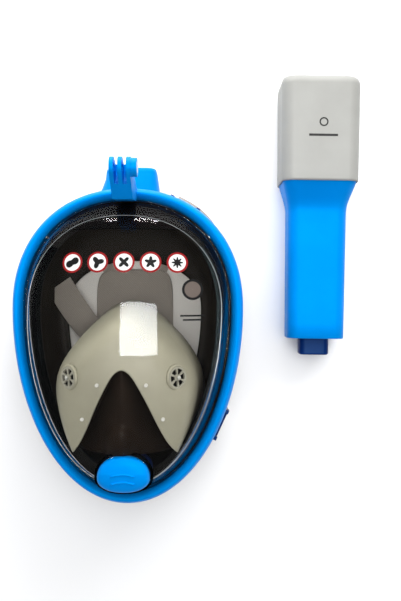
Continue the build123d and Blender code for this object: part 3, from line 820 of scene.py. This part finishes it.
bevelled_copy("camera_fork", "mask", BLUE, 0.5)
bevelled_copy("tail_plug", "breathing_tube", NAVY, 1.2)
for clip_name in CLIPS:
    bevelled_copy(f"{clip_name}_clip", f"{clip_name}_clip", NAVY, 0.4)


def rounded_section(width, depth, radius, steps=24):
    """Outline of a rounded rectangle, with steps points on each corner."""
    outline = []
    for corner, (sx, sz) in enumerate(((1, 1), (-1, 1), (-1, -1), (1, -1))):
        for k in range(steps):
            a = math.pi / 2 * (corner + k / (steps - 1))
            outline.append((sx * (width / 2 - radius) + radius * math.cos(a),
                            sz * (depth / 2 - radius) + radius * math.sin(a)))
    return outline


def build_socket():
    """Socket for the tube: a hump that flares into the frame, with a bore for the tail plug."""
    rows = [(75, 74, 40, 12, -7), (79, 70, 39.4, 12, -6.4), (84, 63, 38, 12, -5), (90, 54.5, 36, 11, -3),
            (97, 47.5, 33, 10, -1.2), (105, 43, 30, 9, 0), (111, 41.4, 28.4, 8, 0),
            (113.4, 40.2, 27.4, 7.6, 0),
            (114.2, 38.0, 25.4, 7, 0), (114.2, 28.6, 21.0, 6, 0), (113.4, 26.8, 19.3, 5.2, 0),
            (97.6, 26.7, 19.2, 5, 0)]
    loops = []
    for y, width, depth, radius, lean in rows:
        loop = []
        for x, z in rounded_section(width, depth, radius):
            # Below the clips' pins the flared side draws in, so that the clip beside it can swing in
            tuck = 0.2 * min(-lean / 3, 1) * max(17 - z, 0) * max(-x / (width / 2), 0)
            loop.append(mask_point(x + lean + tuck, y, 24 + z))
        loops.append(loop)
    points, faces = skin(loops, cap_start=True, cap_end=True)
    make_piece("socket_hump", points, faces, "mask", "blue_plastic", BLUE, ["snorkel_socket"])


build_socket()

# ---------------------------------------------------------------- breathing tube and dry top cap

TUBE_TURN = math.radians(-0.8)
tube_x, tube_y = mask_x + 151.5 * MM, mask_y - 25.25 * MM
CAP_LOW, CAP_TOP = 127.4, 215.2


def tube_point(x, y, z):
    """Point of the tube's own frame, in mm, as a place in the row frame."""
    across = x * math.cos(TUBE_TURN) - y * math.sin(TUBE_TURN)
    along = x * math.sin(TUBE_TURN) + y * math.cos(TUBE_TURN)
    return Vector((tube_x + across * MM, tube_y + along * MM, z * MM))


def tube_loops(rows):
    """Sections of (y, width, depth, height of the back, corner radius)."""
    loops = []
    for y, width, depth, back, radius in rows:
        loops.append([tube_point(x, y, back + depth / 2 + z) for x,
                      z in rounded_section(width, depth, radius)])
    return loops


def build_tube():
    low, neck, flare = (46.7, 33.0, 1.5, 9.0), (48.2, 33.5, 1.5, 9.0), (59.6, 43.6, 2.2, 9.0)
    rows = [(3.5, 42.7, 29.0, 3.5, 7.4), (0.2, 43.3, 29.6, 3.2, 7.6), (0.0, 45.6, 31.9, 2.05, 8.6),
            (0.7, *low)]
    for step in range(1, 9):
        share = step / 8
        rows.append((104 * share, *[a + (b - a) * share for a, b in zip(low, neck)]))
    for step in range(1, 17):
        share = step / 16
        ease = share * share * (3 - 2 * share) * 0.55 + share**2.2 * 0.45
        rows.append((104 + 23.4 * share, *[a + (b - a) * ease for a, b in zip(neck, flare)]))
    rows.append((132.0, *flare))
    points, faces = skin(tube_loops(rows), cap_start=True, cap_end=True)
    make_piece("tube_shell", points, faces, "breathing_tube", "blue_plastic", BLUE, ["snorkel_tube"])


def build_cap():
    """Grey dry top cap: rolled lower lip, drafted sides and a front that leans back to a sloped top."""
    rows = [(CAP_LOW + 3, 59.9, 44.3, 1.9, 8), (CAP_LOW + 0.2, 60.0, 44.4, 1.8, 8),
            (CAP_LOW, 61.2, 46.2, 0.9, 9),
            (CAP_LOW + 0.6, 62.2, 47.6, 0.2, 9.6), (CAP_LOW + 2, 62.4, 48.0, 0.0, 10)]
    for step in range(1, 13):
        share = step / 12
        rows.append((CAP_LOW + 2 + 76 * share, 62.4 + 1.4 * share, 48.0, 0.0, 10))
    for step in range(1, 11):
        a = math.pi / 2 * step / 10
        drop = 1 - math.cos(a)
        rows.append((CAP_TOP - 9.8 + 9.8 * math.sin(a), 63.8 - 13 * drop, 48.0 - 20 * drop, 2.5 * drop,
                     10 - 1.5 * drop))
    points, faces = skin(tube_loops(rows), cap_start=False, cap_end=True)
    cap = make_piece("dry_top_cap", points, faces, "breathing_tube", "grey_plastic", GREY, ["cap_shell"],
                     inside=tube_point(0, 170, 24))


build_tube()
build_cap()

# ---------------------------------------------------------------- plain marks on the lens and the cap


def lens_point(x, y, lift):
    return mask_point(x, y, under_visor(x, y, 0) + lift)


def lens_band(middle, outline_in, outline_out, lift, closed=True):
    """Faces between two outlines laid on the lens."""
    loops = []
    for share in (0, 0.5, 1):
        loops.append([lens_point(middle[0] + a[0] + (b[0] - a[0]) * share,
                                 middle[1] + a[1] + (b[1] - a[1]) * share,
                                 lift) for a, b in zip(outline_in, outline_out)])
    return skin(loops, wrap=closed)


def circle(radius, steps=48, squash=1.0):
    return [(radius * math.cos(2 * math.pi * k / steps), radius * squash * math.sin(2 * math.pi * k / steps))
            for k in range(steps)]


def blob(radius, lobes, depth, turn=0.0, steps=48):
    """A wavy outline for an abstract mark."""
    result = []
    for k in range(steps):
        a = 2 * math.pi * k / steps
        r = radius * (1 + depth * math.cos(lobes * (a - turn)))
        result.append((r * math.cos(a), r * math.sin(a)))
    return result


def join_shapes(shapes):
    points, faces = [], []
    for more, others in shapes:
        shift = len(points)
        points += more
        faces += [tuple(i + shift for i in face) for face in others]
    return points, faces


def build_labels():
    """Five plain round stickers, a thin ring and two bars in place of the printed signs."""
    tiny = circle(0.05)
    rings, discs, glyphs = [], [], []
    marks = [blob(3.6, 2, 0.45, 0.5), blob(3.4, 3, 0.4, 0.2), blob(3.2, 4, 0.45, 0.8),
             blob(3.3, 5, 0.35, 0.3),
             blob(3.2, 8, 0.35)]
    for number, mark in enumerate(marks):
        middle = (-36.7 + 19.1 * number, 33.7)
        rings.append(lens_band(middle, circle(6.2), circle(7.7), 0.22))
        discs.append(lens_band(middle, tiny, circle(6.4), 0.16))
        glyphs.append(lens_band(middle, tiny, mark, 0.26))
    inside = MASK_MIDDLE
    make_piece("sticker_rims", *join_shapes(rings), "mask", "black_plastic", RED, inside=inside)
    make_piece("sticker_faces", *join_shapes(discs), "mask", "white_plastic", WHITE, inside=inside)
    glyphs.append(lens_band((50.9, 14.0), circle(5.9), circle(7.7), 0.35))
    for bar_y, half in ((-5.0, 9.0), (-8.0, 7.0)):
        low = [(-half + half * k / 8, -0.6) for k in range(17)]
        high = [(x, 0.6) for x, _ in low]
        glyphs.append(lens_band((51.0, bar_y), low, high, 0.35, closed=False))
    make_piece("lens_marks", *join_shapes(glyphs), "mask", "black_plastic", PRINT, inside=inside)
    stamp = lens_band((50.9, 14.0), tiny, circle(6.1), 0.28)
    make_piece("stamp_face", *stamp, "mask", "black_plastic", STAMP, inside=inside)


def build_cap_mark():
    """A plain ring over a plain bar on the dry top's front."""
    shapes = []
    ring_in, ring_out = circle(2.5), circle(3.6)
    shapes.append(skin([[tube_point(1.2 + x, 174 + y, 48.12) for x, y in loop] for loop in (ring_in,
                                                                                            ring_out)]))
    bar = [(-10.5, 162.6), (12.5, 162.6), (12.5, 164.4), (-10.5, 164.4)]
    shapes.append(([tube_point(x, y, 48.12) for x, y in bar], [(0, 1, 2, 3)]))
    make_piece("cap_mark", *join_shapes(shapes), "breathing_tube", "black_plastic", PRINT,
               inside=tube_point(0, 170, 20))


build_labels()
build_cap_mark()

# ---------------------------------------------------------------- stage


def build_stage():
    bpy.ops.mesh.primitive_plane_add(size=12, location=(0, 0, -0.0002))
    floor = bpy.context.object
    floor.name = "floor"
    paper = Shader("pale_floor")
    paper.feed("Base Color", paper.colours(paper.noise(3.0), (0.955, 0.955, 0.96), (0.965, 0.965, 0.965)))
    paper.set(Roughness=0.7)
    floor.data.materials.append(paper.material)
    # Name: place, size, power, seen in mirror reflections, lights matt surfaces
    lamps = {
        "ceiling": ((0.0, 0.3, 1.6), (3.0, 3.0), 35.0, False, True),
        "side": ((0.5, 1.1, 0.65), (1.0, 0.7), 15.0, False, True),
        "window": ((0.14, 0.11, 1.25), (0.66, 0.58), 44.0, True, False),
        "high_window": ((-0.08, 1.1, 0.27), (0.75, 0.2), 14.0, True, False),
        "top": ((-0.14, 0.40, 0.22), (0.5, 0.25), 1.3, False, True),
    }
    for name, (place, size, power, mirrored, lit) in lamps.items():
        light = bpy.data.lights.new(name, "AREA")
        light.shape = "RECTANGLE"
        light.size, light.size_y = size
        light.energy = power
        lamp = bpy.data.objects.new(name, light)
        lamp.location = place
        aim = Vector((place[0], place[1], 0)) if place[2] > 1 else Vector((0, 0, 0.05))
        lamp.rotation_euler = (aim - Vector(place)).to_track_quat("-Z", "Y").to_euler()
        lamp.visible_glossy, lamp.visible_diffuse = mirrored, lit
        bpy.context.scene.collection.objects.link(lamp)
    world = bpy.data.worlds.new("studio")
    world.use_nodes = True
    world.node_tree.nodes["Background"].inputs["Color"].default_value = (0.95, 0.97, 1.0, 1)
    world.node_tree.nodes["Background"].inputs["Strength"].default_value = 0.3
    bpy.context.scene.world = world


def build_camera():
    """Looks straight down at the set from the height that gives the perspective seen."""
    lens = bpy.data.cameras.new("camera")
    lens.sensor_width = 36.0
    lens.lens = 41.45
    camera = bpy.data.objects.new("camera", lens)
    camera.location = (mask_x + 56.6 * MM, mask_y + 6.0 * MM, 0.600)
    camera.rotation_euler = (0, 0, 0)
    bpy.context.scene.collection.objects.link(camera)
    bpy.context.scene.camera = camera


build_stage()
build_camera()
bpy.context.scene.view_settings.view_transform = "Standard"
